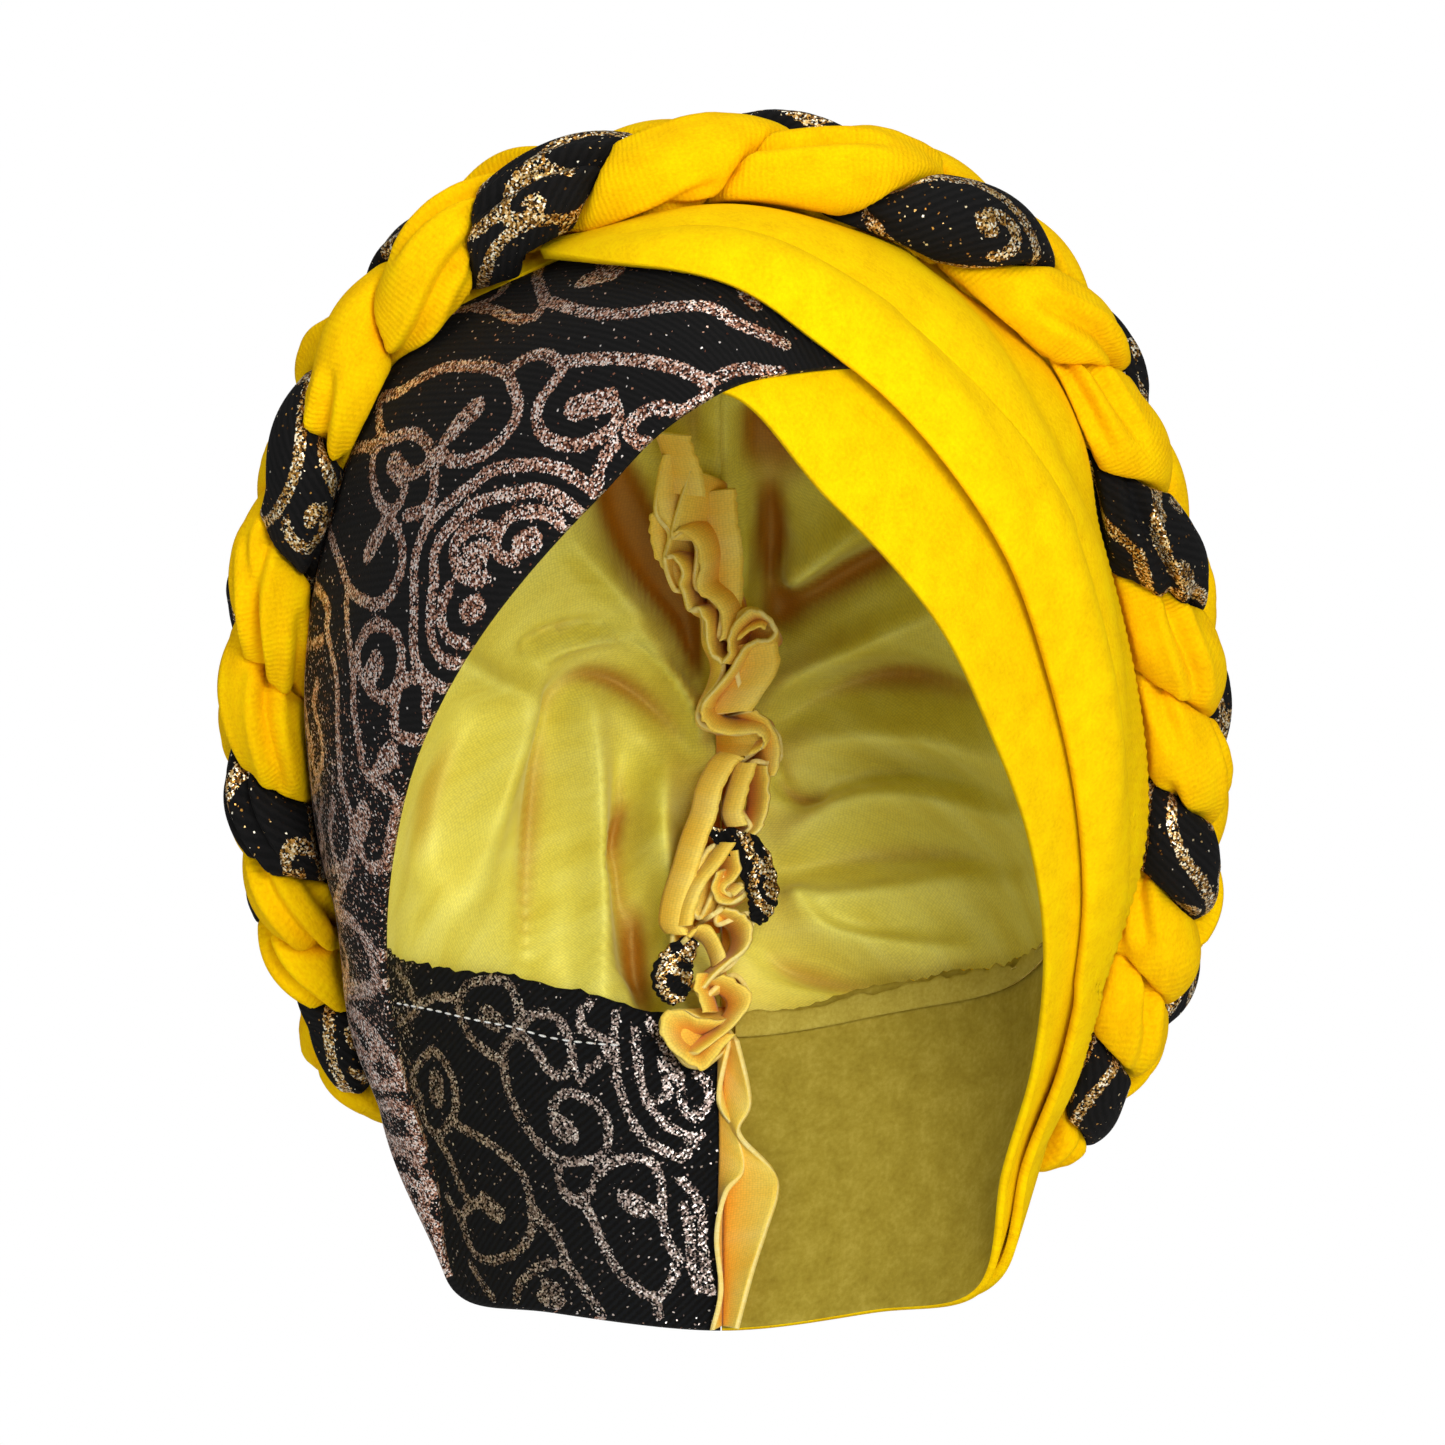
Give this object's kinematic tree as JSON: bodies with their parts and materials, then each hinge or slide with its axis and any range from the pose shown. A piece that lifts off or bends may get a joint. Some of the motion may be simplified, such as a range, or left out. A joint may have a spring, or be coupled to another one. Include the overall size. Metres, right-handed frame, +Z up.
{
  "type": "braided turban cap",
  "caption": "Ready-made stretch turban cap with a gathered crown, a crossed two-colour headband and a plaited braid over the top.",
  "frame": {"origin": "inside of the crown on its centre seam, where the top of the head touches", "axes": "+Z up, -Y towards the face side, +X to the right as seen from the front"},
  "size_m": [0.2296, 0.2023, 0.2732],
  "materials": {
    "yellow_jersey": "matte",
    "black_lurex": "glittering"
  },
  "bodies": {
    "root": {"crown_left": "yellow_jersey", "crown_right": "yellow_jersey", "band_lurex": "black_lurex", "band_yellow": "yellow_jersey", "wrap_yellow": "yellow_jersey", "braid_yellow_a": "yellow_jersey", "braid_yellow_b": "yellow_jersey", "braid_lurex": "black_lurex", "seam_ruffle": "yellow_jersey", "band_ruffle": "yellow_jersey", "lurex_scrap_upper": "black_lurex", "lurex_scrap_lower": "black_lurex"}
  },
  "joints": []
}
